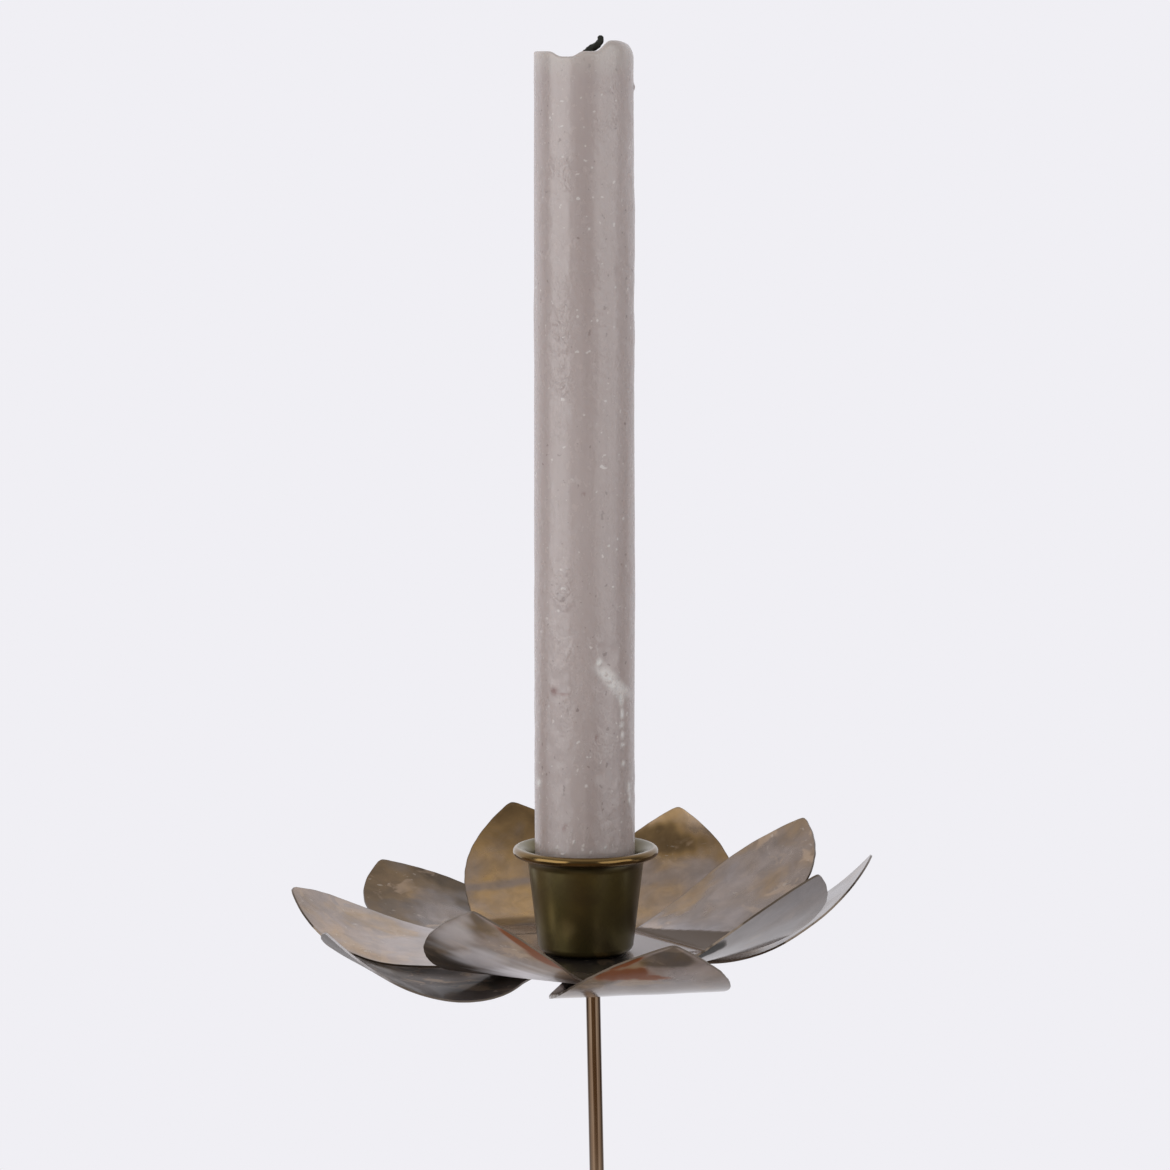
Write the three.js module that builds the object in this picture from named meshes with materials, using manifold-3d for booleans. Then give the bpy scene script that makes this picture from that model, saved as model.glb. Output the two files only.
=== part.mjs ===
// Lotus taper candle holder: a thin brass stem on a round foot carries two layers of
// cut and bent sheet petals, a tapered cup with a rolled lip, and a straight candle.
// Millimetres, +Z up. The origin is on the table, under the middle of the foot.
import * as THREE from 'three';
import { mergeVertices } from 'three/addons/utils/BufferGeometryUtils.js';
import Module from 'manifold-3d';

const wasm = await Module();
wasm.setup();

// Fits
const fitGap = 0.3; // clear space between pieces that touch
const boreClearance = 0.3; // between a bore and the rod or screw in it

// Whole stand
const flowerHeight = 200; // table to the flower's flat centre
const stemLean = 1.2; // degrees, the top leans to -X
const stemOffset = 1.6; // stem axis to cup axis where the stem meets the boss

// Foot
const padThickness = 1.5;
const padInset = 3; // pad edge inside the foot's edge
const footDiameter = 100;
const footThickness = 5.5;
const footEdgeRadius = 1.6;
const recessDiameter = 11; // takes the nut and washer under the foot
const washerDiameter = 8;
const washerThickness = 0.6;
const nutAcrossFlats = 5.5;
const nutHeight = 2.2;
const collarDiameter = 9;
const collarHeight = 5;
const collarEdgeRadius = 1.5;

// Stem and the boss under the flower
const stemDiameter = 3.2;
const socketDepth = 3.2; // stem end inside the boss
const bossDiameter = 9;
const bossHeight = 6.6;
const bossEdgeRadius = 1;

// Petal sheets
const sheetThickness = 0.45;
const layerGap = 0.75; // air between the two sheets
const bendRadius = 22; // flower axis to the petals' bend lines
const widestAt = 0.38; // share of the length where a petal is widest
const tipFullness = 3; // exponent of the outline from there to the tip
const notchDepth = 3; // dip of the rim between two petals

// Each petal: azimuth, slope at the bend line, slope at the tip, turn of the bend line and roll
// about its own length, in degrees, and the power by which the slope grows along it. They are
// bent by hand, so no two agree. Each layer gives its petals' length and half widths.
const innerLayer = {
  length: 46.5,
  halfWidth: 17.7,
  rootHalfWidth: 14, // on the bend line
  petals: [
    { azimuth: 35, root: 5, tip: 50, skew: 0, roll: -4, growth: 0.65 },
    { azimuth: 103, root: 4, tip: 69, skew: -22, roll: 13, growth: 0.7 },
    { azimuth: 177, root: 2, tip: 46, skew: -10, roll: -3, growth: 1.5 },
    { azimuth: 247, root: -1, tip: 60, skew: -3, roll: -2, growth: 1.1 },
    { azimuth: 325, root: 6, tip: 55, skew: -5, roll: 1, growth: 0.8 },
  ],
};
const outerLayer = {
  length: 51,
  halfWidth: 18.6,
  rootHalfWidth: 10.5,
  petals: [
    { azimuth: 16, root: -6, tip: 50, skew: -15, roll: -9, growth: 0.75 },
    { azimuth: 70, root: -4, tip: 75, skew: 1, roll: -2, growth: 1.25 },
    { azimuth: 132, root: -2, tip: 30, skew: 6, roll: -3, growth: 0.9 },
    { azimuth: 216, root: -9, tip: 51, skew: -11, roll: -3, growth: 1.25 },
    { azimuth: 285, root: -9, tip: 51, skew: -9, roll: 3, growth: 1.05 },
  ],
};

// Cup, sized for the candle
const cupHeight = 23.7;
const cupWall = 0.7;
const cupCornerRadius = 2;
const cupDraft = 6.8; // degrees from upright
const mouthClearance = 0.9; // candle to wall where the lip starts to flare
const lipReach = 3.4; // bead's outside beyond the wall
const lipBeadRadius = 1.05;

// Screw that holds cup, sheets and boss together
const screwShankDiameter = 3;
const screwHeadDiameter = 6;
const screwHeadHeight = 1.8;
const screwEngagement = 2.4; // in the boss
const cupWasherDiameter = 9;
const cupWasherThickness = 0.6;

// Candle
const candleDiameter = 22; // where it leaves the cup
const candleTopDiameter = 21.4;
const candleTop = 197.5; // above the flower's flat centre
const candleEdgeRadius = 1.6;
const seatClearance = 0.4; // candle foot to cup wall
const hollowPlace = -3.8; // of the hollow across its burnt top, from the axis
const hollowHalfWidth = 2.6;
const hollowDepth = 1.1;
const humpStart = 2; // left foot of the hump on its burnt top, from the axis
const humpRun = 3.2; // from there to its full height
const humpHeight = 2.3;
const humpSetback = 2.6; // how much further right it starts in front, beside the wick
const burntReach = 4; // depth over which the unevenness dies out
const wickDiameter = 1.5;
const wickLength = 3.3; // above the wax
const wickDepth = 6; // in the wax
const wickReach = 3.6; // how far it leans over before its end turns up
const wickKnee = 2; // height of that turn above the wax

// Facets
const roundSides = 40;
const smallSides = 24;
const arcSteps = 4;
const petalRows = 13;
const petalColumns = 8;
const notchColumns = 4;
const rimRings = 3;
const rollSteps = 40; // of the sums along a bent petal
const crownRings = 7; // on the candle's top

const degrees = THREE.MathUtils.degToRad;

const brass = { color: 0x8a6f42, roughness: 0.25, metalness: 1 };
const darkBrass = { color: 0x4a3f22, roughness: 0.35, metalness: 1 };
const steel = { color: 0x8c8c8a, roughness: 0.4, metalness: 1 };
const felt = { color: 0x2c2a28, roughness: 1, metalness: 0 };
const wax = { color: 0x9d908e, roughness: 0.6, metalness: 0 };
const charred = { color: 0x1a1715, roughness: 0.9, metalness: 0 };

function piece(name, geometry, look) {
  const mesh = new THREE.Mesh(geometry, new THREE.MeshStandardMaterial(look));
  mesh.name = name;
  return mesh;
}

// A turned body from a closed profile of (radius, height) points, turned about +Z.
function turned(points, sides) {
  return new THREE.LatheGeometry(points, sides).rotateX(Math.PI / 2);
}

function point(radius, height) {
  return new THREE.Vector2(radius, height);
}

// Points of a round stretch of a profile, from one angle to another in degrees. It is part of an
// ellipse where its rise differs from its radius.
function arc(centreRadius, centreHeight, radius, from, to, steps = arcSteps, rise = radius) {
  return Array.from({ length: steps + 1 }, (_, i) => {
    const angle = degrees(from + ((to - from) * i) / steps);
    return point(centreRadius + radius * Math.cos(angle), centreHeight + rise * Math.sin(angle));
  });
}

// A flat ring with square edges.
function ring(outerRadius, boreRadius, bottom, height, sides) {
  return turned([
    point(boreRadius, bottom),
    point(outerRadius, bottom),
    point(outerRadius, bottom + height),
    point(boreRadius, bottom + height),
    point(boreRadius, bottom),
  ], sides);
}

// Heights above the table
const footBottom = padThickness + fitGap;
const footTop = footBottom + footThickness;
const collarBottom = footTop + fitGap;
const recessDepth = washerThickness + nutHeight + 3 * fitGap;
const stemRadius = stemDiameter / 2;
const boreRadius = stemRadius + boreClearance;

// Heights from the flower's flat centre
const outerSheetTop = -sheetThickness - layerGap;
const bossTop = outerSheetTop - sheetThickness - fitGap;
const bossBottom = bossTop - bossHeight;
const cupFloor = fitGap + cupWall;
const cupWasherBottom = cupFloor + fitGap;
const screwHeadBottom = cupWasherBottom + cupWasherThickness + fitGap;
const screwHeadTop = screwHeadBottom + screwHeadHeight;
const shankBore = screwShankDiameter / 2 + boreClearance;

// Where the leaning stem meets the boss, and the flower's axis beside it
const leanTangent = Math.tan(degrees(stemLean));
const stemShift = -leanTangent * (flowerHeight + bossBottom - footTop);
const flowerShift = stemShift - stemOffset;

function footPad() {
  const radius = footDiameter / 2 - padInset;
  return turned([
    point(0, 0),
    point(radius, 0),
    point(radius, padThickness),
    point(0, padThickness),
  ], roundSides);
}

// The foot is a turned disc with an eased upper edge, bored for the stem and recessed below.
function footDisc() {
  const radius = footDiameter / 2;
  // The bore also clears the stem's lean through the foot.
  const bore = boreRadius + leanTangent * footThickness;
  const chamfer = footEdgeRadius / 3;
  return turned([
    point(recessDiameter / 2, footBottom),
    point(radius - chamfer, footBottom),
    point(radius, footBottom + chamfer),
    ...arc(radius - footEdgeRadius, footTop - footEdgeRadius, footEdgeRadius, 0, 90),
    point(bore, footTop),
    point(bore, footBottom + recessDepth),
    point(recessDiameter / 2, footBottom + recessDepth),
    point(recessDiameter / 2, footBottom),
  ], roundSides);
}

// Pieces on the leaning stem are modelled along it, from the foot's top face.
function footCollar() {
  const radius = collarDiameter / 2;
  return turned([
    point(boreRadius, collarBottom - footTop),
    point(radius, collarBottom - footTop),
    ...arc(radius - collarEdgeRadius, collarBottom - footTop + collarHeight - collarEdgeRadius,
      collarEdgeRadius, 0, 90),
    point(boreRadius, collarBottom - footTop + collarHeight),
    point(boreRadius, collarBottom - footTop),
  ], smallSides);
}

const washerTop = footBottom + recessDepth - footTop - fitGap;
const nutTop = washerTop - washerThickness - fitGap;

function footWasher() {
  return ring(washerDiameter / 2, boreRadius, washerTop - washerThickness, washerThickness, smallSides);
}

function footNut() {
  const hexagon = new THREE.Shape();
  const corner = nutAcrossFlats / Math.sqrt(3);
  for (let i = 0; i < 6; i += 1) {
    const angle = degrees(60 * i);
    hexagon[i ? 'lineTo' : 'moveTo'](corner * Math.cos(angle), corner * Math.sin(angle));
  }
  hexagon.closePath();
  hexagon.holes.push(new THREE.Path().absarc(0, 0, boreRadius, 0, 2 * Math.PI, true));
  return new THREE.ExtrudeGeometry(hexagon, {
    depth: nutHeight, bevelEnabled: false, curveSegments: smallSides / 2,
  }).translate(0, 0, nutTop - nutHeight);
}

// The rod runs from inside the foot's nut to its end in the boss.
const stemStart = nutTop - nutHeight;
const stemEnd = (flowerHeight + bossBottom - footTop + socketDepth - fitGap) / Math.cos(degrees(stemLean));

function stemRod() {
  return turned([
    point(0, stemStart),
    point(stemRadius, stemStart),
    point(stemRadius, stemEnd),
    point(0, stemEnd),
  ], smallSides);
}

// A closed geometry as a solid that can be cut or joined.
function solid(geometry) {
  const bare = geometry.clone();
  bare.deleteAttribute('normal');
  bare.deleteAttribute('uv');
  const merged = mergeVertices(bare, 1e-4);
  return new wasm.Manifold(new wasm.Mesh({
    numProp: 3,
    vertProperties: Float32Array.from(merged.attributes.position.array),
    triVerts: Uint32Array.from(merged.index.array),
  }));
}

function surface(body) {
  const mesh = body.getMesh();
  const geometry = new THREE.BufferGeometry();
  geometry.setAttribute('position', new THREE.BufferAttribute(Float32Array.from(mesh.vertProperties), 3));
  geometry.setIndex(new THREE.BufferAttribute(Uint32Array.from(mesh.triVerts), 1));
  geometry.computeVertexNormals();
  return geometry;
}

// The boss is tapped from above for the screw and bored from below, along the leaning stem.
function stemBoss() {
  const radius = bossDiameter / 2;
  const tapBottom = bossTop - screwEngagement - fitGap;
  const body = turned([
    point(0, bossBottom),
    ...arc(radius - bossEdgeRadius, bossBottom + bossEdgeRadius, bossEdgeRadius, -90, 0),
    point(radius, bossTop),
    point(shankBore, bossTop),
    point(shankBore, tapBottom),
    point(0, tapBottom),
  ], smallSides);
  const socket = turned([
    point(0, -bossHeight),
    point(boreRadius, -bossHeight),
    point(boreRadius, socketDepth),
    point(0, socketDepth),
  ], smallSides);
  socket.rotateY(-degrees(stemLean));
  socket.translate(stemOffset, 0, bossBottom);
  return surface(solid(body).subtract(solid(socket)));
}

// Half of a petal's width at a share of its length: a quarter sine from the root to the
// widest place, then a full curve to a blunt point.
function petalHalfWidth({ halfWidth, rootHalfWidth }, share) {
  if (share < widestAt) {
    const rise = Math.sin((share / widestAt) * (Math.PI / 2));
    return rootHalfWidth + (halfWidth - rootHalfWidth) * rise;
  }
  return halfWidth * (1 - ((share - widestAt) / (1 - widestAt)) ** tipFullness);
}

// How far out and up the sheet is after a distance along its bend: sums of the cosine and sine
// of its slope, which grows from the root's to the tip's.
function rolledUp(petal, bentLength, distance) {
  const step = distance / rollSteps;
  let run = 0;
  let lift = 0;
  for (let i = 0; i < rollSteps; i += 1) {
    const share = ((i + 0.5) * step) / bentLength;
    const slope = degrees(petal.root + (petal.tip - petal.root) * share ** petal.growth);
    run += step * Math.cos(slope);
    lift += step * Math.sin(slope);
  }
  return { run, lift };
}

// A point of the flat blank, along and across its petal, carried to its place on the bent
// petal. The sheet rolls up about a line turned by the skew, and one side lifts by the roll.
function bentPoint({ length, rootHalfWidth }, petal, along, across) {
  const skew = degrees(petal.skew);
  const forward = along * Math.cos(skew) + across * Math.sin(skew);
  const aside = across * Math.cos(skew) - along * Math.sin(skew);
  const flat = rootHalfWidth * Math.abs(Math.sin(skew)); // the bend starts past the root's corner
  const { run, lift } = rolledUp(petal, length * Math.cos(skew) - flat, Math.max(forward - flat, 0));
  const reach = Math.min(forward, flat) + run;
  const radial = bendRadius + reach * Math.cos(skew) - aside * Math.sin(skew);
  const sideways = reach * Math.sin(skew) + aside * Math.cos(skew);
  const turn = degrees(petal.azimuth);
  return new THREE.Vector3(
    radial * Math.cos(turn) - sideways * Math.sin(turn),
    radial * Math.sin(turn) + sideways * Math.cos(turn),
    lift + Math.tan(degrees(petal.roll)) * across * (along / length),
  );
}

// The sheet's upward direction there, from two short steps on the bent surface.
function bentNormal(layer, petal, along, across) {
  const step = 0.05;
  const lengthwise = bentPoint(layer, petal, along + step, across)
    .sub(bentPoint(layer, petal, along - step, across));
  const crosswise = bentPoint(layer, petal, along, across + step)
    .sub(bentPoint(layer, petal, along, across - step));
  return lengthwise.cross(crosswise).normalize();
}

// One sheet: a flat bored centre whose rim runs along the petals' roots and the notches
// between them, and a grid of rows and columns for each petal, thickened downwards.
function petalSheet(layer, top) {
  const upper = [];
  const lower = [];
  const triangles = [];
  const up = new THREE.Vector3(0, 0, 1);

  function vertex(place, normal) {
    upper.push(place);
    lower.push(place.clone().addScaledVector(normal, -sheetThickness));
    return upper.length - 1;
  }
  // A patch of four corners, counter-clockwise from above, on both faces of the sheet.
  function patch(a, b, c, d) {
    triangles.push([a, b, c, 0], [a, c, d, 0], [c, b, a, 1], [d, c, a, 1]);
  }
  // The cut edge along a to b, with the sheet on the left of that direction.
  function cutEdge(a, b) {
    triangles.push([a, b, a, 'wall']);
  }

  const { petals, length, rootHalfWidth } = layer;
  const rim = [];
  petals.forEach((petal, k) => {
    for (let j = 0; j <= petalColumns; j += 1) {
      const across = rootHalfWidth * ((2 * j) / petalColumns - 1);
      rim.push({ place: bentPoint(layer, petal, 0, across), petal: k, column: j });
    }
    const next = petals[(k + 1) % petals.length];
    const from = bentPoint(layer, petal, 0, rootHalfWidth);
    const to = bentPoint(layer, next, 0, -rootHalfWidth);
    for (let j = 1; j < notchColumns; j += 1) {
      const share = j / notchColumns;
      const place = from.clone().lerp(to, share);
      const reach = THREE.MathUtils.lerp(from.length(), to.length(), share);
      place.setLength(reach - notchDepth * Math.sin(Math.PI * share));
      rim.push({ place });
    }
  });

  const boreRing = shankBore;
  const rings = [];
  for (let i = 0; i <= rimRings; i += 1) {
    rings.push(rim.map(({ place }) => {
      const radius = THREE.MathUtils.lerp(boreRing, place.length(), i / rimRings);
      return vertex(place.clone().setLength(radius), up);
    }));
  }
  const count = rim.length;
  for (let i = 0; i < rimRings; i += 1) {
    for (let j = 0; j < count; j += 1) {
      const n = (j + 1) % count;
      patch(rings[i][j], rings[i + 1][j], rings[i + 1][n], rings[i][n]);
    }
  }
  const outerRing = rings[rimRings];
  for (let j = 0; j < count; j += 1) {
    const n = (j + 1) % count;
    cutEdge(rings[0][n], rings[0][j]);
    const onRoot = rim[j].column !== undefined && rim[j].column < petalColumns;
    if (!onRoot) cutEdge(outerRing[j], outerRing[n]);
  }

  petals.forEach((petal, k) => {
    let row = outerRing.filter((_, j) => rim[j].petal === k);
    for (let i = 1; i < petalRows; i += 1) {
      const share = i / petalRows;
      const along = share * length;
      const half = petalHalfWidth(layer, share);
      const nextRow = row.map((_, j) => {
        const across = half * ((2 * j) / petalColumns - 1);
        return vertex(bentPoint(layer, petal, along, across), bentNormal(layer, petal, along, across));
      });
      for (let j = 0; j < petalColumns; j += 1) patch(row[j], nextRow[j], nextRow[j + 1], row[j + 1]);
      cutEdge(row[0], nextRow[0]);
      cutEdge(nextRow[petalColumns], row[petalColumns]);
      row = nextRow;
    }
    const tip = vertex(bentPoint(layer, petal, length, 0), bentNormal(layer, petal, length, 0));
    for (let j = 0; j < petalColumns; j += 1) {
      triangles.push([row[j], tip, row[j + 1], 0], [row[j + 1], tip, row[j], 1]);
    }
    cutEdge(row[0], tip);
    cutEdge(tip, row[petalColumns]);
  });

  const below = upper.length;
  const index = [];
  triangles.forEach(([a, b, c, face]) => {
    if (face === 'wall') {
      index.push(a, a + below, b + below, a, b + below, b);
    } else {
      index.push(a + face * below, b + face * below, c + face * below);
    }
  });
  const geometry = new THREE.BufferGeometry().setFromPoints([...upper, ...lower]);
  geometry.setIndex(index);
  geometry.translate(0, 0, top);
  geometry.computeVertexNormals();
  return geometry;
}

// Cup wall: straight draft from the corner to the lip.
const draftTangent = Math.tan(degrees(cupDraft));
const beadHeight = cupHeight - lipBeadRadius;
const flareStart = beadHeight - lipReach;
const mouthRadius = candleDiameter / 2 + mouthClearance;

function cupInside(height) {
  return mouthRadius - (flareStart - height) * draftTangent;
}

// The lip flares by a quarter turn into a full round bead, and its inside sweeps up to the bead's crest.
function candleCup() {
  const bottom = fitGap;
  const cornerHeight = bottom + cupCornerRadius;
  const innerCorner = cupCornerRadius - cupWall;
  const beadCentre = mouthRadius + cupWall + lipReach - lipBeadRadius;
  const flare = beadHeight - lipBeadRadius - flareStart;
  const sweepReach = beadCentre - mouthRadius;
  const sweepRise = cupHeight - flareStart;
  return turned([
    point(shankBore, bottom),
    ...arc(cupInside(cornerHeight) + cupWall - cupCornerRadius, cornerHeight, cupCornerRadius, -90, -cupDraft),
    ...arc(mouthRadius + cupWall + flare, flareStart, flare, 180, 90),
    ...arc(beadCentre, beadHeight, lipBeadRadius, -90, 90, 2 * arcSteps).slice(1),
    ...arc(beadCentre, flareStart, sweepReach, 90, 180, 2 * arcSteps, sweepRise).slice(1),
    ...arc(cupInside(cornerHeight) - innerCorner, cornerHeight, innerCorner, -cupDraft, -90),
    point(shankBore, bottom + cupWall),
    point(shankBore, bottom),
  ], roundSides);
}

function cupWasher() {
  return ring(cupWasherDiameter / 2, shankBore, cupWasherBottom, cupWasherThickness, smallSides);
}

function cupScrew() {
  const head = screwHeadDiameter / 2;
  const shank = screwShankDiameter / 2;
  const end = bossTop - screwEngagement;
  const crown = screwHeadHeight / 2;
  return turned([
    point(0, end),
    point(shank, end),
    point(shank, screwHeadBottom),
    point(head, screwHeadBottom),
    ...arc(head - crown, screwHeadTop - crown, crown, 0, 90),
    point(0, screwHeadTop),
  ], smallSides);
}

// The candle tapers a little, and its foot is pared to the cup's draft and stands on the screw.
const candleRadius = candleDiameter / 2;
const candleTopRadius = candleTopDiameter / 2;
const candleFoot = screwHeadTop + fitGap;
const paredTop = flareStart - (mouthClearance - seatClearance) / draftTangent;
const wickBore = wickDiameter / 2 + boreClearance;

// Rise or fall of the burnt top: a hollow across its left side, and a hump on its right that
// keeps clear of the wick.
function burntLift(x, y) {
  const sunk = hollowDepth * Math.exp(-(((x - hollowPlace) / hollowHalfWidth) ** 4));
  const front = 1 - THREE.MathUtils.smoothstep(y, 0, humpSetback);
  const start = humpStart + humpSetback * front;
  return humpHeight * THREE.MathUtils.smoothstep(x, start, start + humpRun) - sunk;
}

function candleWax() {
  const crown = candleTopRadius - candleEdgeRadius;
  const crownStep = (crown - wickBore) / crownRings;
  const body = turned([
    point(0, candleFoot),
    point(cupInside(candleFoot) - seatClearance, candleFoot),
    point(candleRadius, paredTop),
    ...arc(crown, candleTop - candleEdgeRadius, candleEdgeRadius, 0, 90),
    ...Array.from({ length: crownRings }, (_, i) => point(crown - crownStep * (i + 1), candleTop)),
    point(wickBore, candleTop - wickDepth),
    point(0, candleTop - wickDepth),
  ], roundSides);
  const { position } = body.attributes;
  for (let i = 0; i < position.count; i += 1) {
    const height = position.getZ(i);
    const fade = Math.exp((height - candleTop) / burntReach);
    position.setZ(i, height + fade * burntLift(position.getX(i), position.getY(i)));
  }
  body.computeVertexNormals();
  return body;
}

// The wick stands in the wax, leans over to +X above it, and turns up at its end.
function candleWick() {
  const start = candleTop - wickDepth + fitGap;
  const path = new THREE.CatmullRomCurve3([
    new THREE.Vector3(0, 0, start),
    new THREE.Vector3(0, 0, candleTop - wickDepth / 2),
    new THREE.Vector3(0, 0, candleTop + wickDiameter / 3),
    new THREE.Vector3(wickReach, 0, candleTop + wickKnee),
    new THREE.Vector3(wickReach - wickDiameter / 4, 0, candleTop + wickLength),
  ]);
  const section = new THREE.Shape().absarc(0, 0, wickDiameter / 2, 0, 2 * Math.PI);
  return new THREE.ExtrudeGeometry(section, {
    extrudePath: path, steps: 12, curveSegments: 5, bevelEnabled: false,
  });
}

const foot = new THREE.Group();
foot.add(piece('foot_pad', footPad(), felt));
foot.add(piece('foot_disc', footDisc(), brass));

const stem = new THREE.Group();
stem.position.set(0, 0, footTop);
stem.rotation.y = -degrees(stemLean);
stem.add(piece('foot_nut', footNut(), steel));
stem.add(piece('foot_washer', footWasher(), steel));
stem.add(piece('foot_collar', footCollar(), brass));
stem.add(piece('stem_rod', stemRod(), brass));

const flower = new THREE.Group();
flower.position.set(flowerShift, 0, flowerHeight);
flower.add(piece('stem_boss', stemBoss(), brass));
flower.add(piece('outer_petals', petalSheet(outerLayer, outerSheetTop), brass));
flower.add(piece('inner_petals', petalSheet(innerLayer, 0), brass));
flower.add(piece('candle_cup', candleCup(), darkBrass));
flower.add(piece('cup_washer', cupWasher(), steel));
flower.add(piece('cup_screw', cupScrew(), steel));
flower.add(piece('candle_wax', candleWax(), wax));
flower.add(piece('candle_wick', candleWick(), charred));

const holder = new THREE.Group();
holder.add(foot, stem, flower);

export default holder;
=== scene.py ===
import math

import bmesh
import bpy
import numpy as np
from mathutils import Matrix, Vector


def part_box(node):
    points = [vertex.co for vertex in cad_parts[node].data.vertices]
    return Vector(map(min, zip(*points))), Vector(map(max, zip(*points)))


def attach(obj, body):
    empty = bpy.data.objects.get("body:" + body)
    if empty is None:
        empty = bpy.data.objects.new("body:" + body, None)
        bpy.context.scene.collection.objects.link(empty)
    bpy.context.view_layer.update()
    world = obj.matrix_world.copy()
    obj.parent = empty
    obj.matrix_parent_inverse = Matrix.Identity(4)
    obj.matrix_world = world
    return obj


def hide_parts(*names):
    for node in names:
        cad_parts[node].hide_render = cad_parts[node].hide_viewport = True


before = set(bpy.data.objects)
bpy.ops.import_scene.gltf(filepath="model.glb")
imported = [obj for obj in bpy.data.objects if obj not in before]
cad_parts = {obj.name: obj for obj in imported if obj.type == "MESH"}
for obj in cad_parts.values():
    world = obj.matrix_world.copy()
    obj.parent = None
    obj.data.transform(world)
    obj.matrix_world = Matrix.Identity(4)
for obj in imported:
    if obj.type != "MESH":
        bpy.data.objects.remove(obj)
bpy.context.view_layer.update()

mm = 0.001
fitGap = 0.3  # mm between touching pieces

cupLow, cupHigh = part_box("candle_cup")
flowerX = (cupLow.x + cupHigh.x) / 2  # axis of the cup, the flower and the candle
flowerZ = cupLow.z - fitGap * mm  # top face of the flower's flat centre
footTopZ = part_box("foot_disc")[1].z
stemLean = math.radians(1.2)  # the stem's top leans to -X


# Grids of points, and meshes from them

def gridFaces(rows, columns, wrap):
    # each face joins two rows and two columns; wrapping joins the last column to the first
    i, j = np.meshgrid(np.arange(rows - 1), np.arange(columns if wrap else columns - 1), indexing="ij")
    k = (j + 1) % columns
    corners = (i * columns + j, i * columns + k, (i + 1) * columns + k, (i + 1) * columns + j)
    return np.stack(corners, -1).reshape(-1, 4)


def addObject(name, data):
    made = bpy.data.objects.new(name, data)
    bpy.context.scene.collection.objects.link(made)
    return made


def makePiece(name, patches, finish, body, node, crease=40):
    # each patch has a grid of points in metres, whether it wraps or faces the other way, and its marks
    mesh = bpy.data.meshes.new(name)
    points, faces, start = [], [], 0
    for patch in patches:
        rows, columns = patch["points"].shape[:2]
        made = gridFaces(rows, columns, patch.get("wrap", False)) + start
        faces.append(made[:, ::-1] if patch.get("flip", False) else made)
        points.append(patch["points"].reshape(-1, 3))
        start += rows * columns
    mesh.from_pydata(np.concatenate(points).tolist(), [], np.concatenate(faces).tolist())
    for mark in patches[0].get("marks", {}):
        values = np.concatenate([patch["marks"][mark].ravel() for patch in patches]).astype(np.float32)
        mesh.attributes.new(mark, "FLOAT", "POINT").data.foreach_set("value", values)
    weld = bmesh.new()
    weld.from_mesh(mesh)
    bmesh.ops.remove_doubles(weld, verts=weld.verts, dist=0.002 * mm)  # closes poles and seams
    weld.to_mesh(mesh)
    weld.free()
    mesh.polygons.foreach_set("use_smooth", np.ones(len(mesh.polygons), bool))
    mesh.set_sharp_from_angle(angle=math.radians(crease))
    mesh.materials.append(finish)
    piece = addObject(name, mesh)
    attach(piece, body)
    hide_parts(node)
    print(name, len(mesh.vertices), "points")
    return piece


def arcPoints(centreRadius, centreHeight, radius, start, end, steps=10):
    # round stretch of a profile, from one angle to another in degrees
    angle = np.radians(np.linspace(start, end, steps + 1))
    return np.stack([centreRadius + radius * np.cos(angle), centreHeight + radius * np.sin(angle)], -1)


def easedProfile(corners, steps=6):
    # corners are (radius, height, ease): each turns into an arc of that ease between its two tangent points
    points = []
    for k, (r, z, ease) in enumerate(corners):
        here = np.array([r, z], float)
        if ease == 0 or k in (0, len(corners) - 1):
            points.append(here[None])
            continue
        back = np.array(corners[k - 1][:2]) - here
        ahead = np.array(corners[k + 1][:2]) - here
        back, ahead = back / np.linalg.norm(back), ahead / np.linalg.norm(ahead)
        half = math.acos(np.clip(back @ ahead, -1, 1)) / 2
        middle = here + (back + ahead) / np.linalg.norm(back + ahead) * ease / math.sin(half)
        reach = ease / math.tan(half)
        first, last = here + back * reach - middle, here + ahead * reach - middle
        turn = np.linspace(0, 1, steps + 1)[:, None]
        sweep = math.pi - 2 * half
        arc = middle + (first * np.sin((1 - turn) * sweep) + last * np.sin(turn * sweep)) / math.sin(sweep)
        hold = 0.2 * ease  # one more row on each side keeps the long faces flat in their shading
        points += [here[None] + back * (reach + hold), arc, here[None] + ahead * (reach + hold)]
    return np.concatenate(points)


def barProfile(radius, low, high, lowEase, highEase):
    return easedProfile([(0, low, 0), (radius, low, lowEase), (radius, high, highEase), (0, high, 0)])


def roundAngles(sides):
    return np.linspace(0, 2 * np.pi, sides, endpoint=False)


def turnedPoints(profile, sides):
    # a profile of (radius, height) turned about +Z: x = radius cos(angle), y = radius sin(angle)
    angle = roundAngles(sides)
    radius, height = profile[:, :1], profile[:, 1:]
    return np.stack([radius * np.cos(angle), radius * np.sin(angle), height + 0 * angle], -1)


def onFlower(points):
    # from millimetres about the flower's axis to metres in the frame
    return points * mm + np.array([flowerX, 0, flowerZ])


def onStem(points):
    # from millimetres along the leaning stem, measured from the foot's top, to metres in the frame
    x, y, z = np.moveaxis(points * mm, -1, 0)
    leanX = x * math.cos(stemLean) - z * math.sin(stemLean)
    leanZ = x * math.sin(stemLean) + z * math.cos(stemLean)
    return np.stack([leanX, y, leanZ + footTopZ], -1)


def ripple(u, v, lengths, seed):
    # an uneven surface: the mean of plane waves of the given lengths, with drawn directions and phases
    draw = np.random.default_rng(seed)
    turns = draw.uniform(0, 2 * np.pi, len(lengths))
    phases = draw.uniform(0, 2 * np.pi, len(lengths))
    waves = [np.sin(2 * np.pi * (u * np.cos(a) + v * np.sin(a)) / w + p)
             for a, w, p in zip(turns, lengths, phases)]
    return sum(waves) / len(lengths)


def smoothStep(x):
    # 0 below 0, 1 above 1, and an even S between
    x = np.clip(x, 0, 1)
    return x * x * (3 - 2 * x)


# Shader nodes

building = {}  # holds the node tree that is being filled


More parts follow.
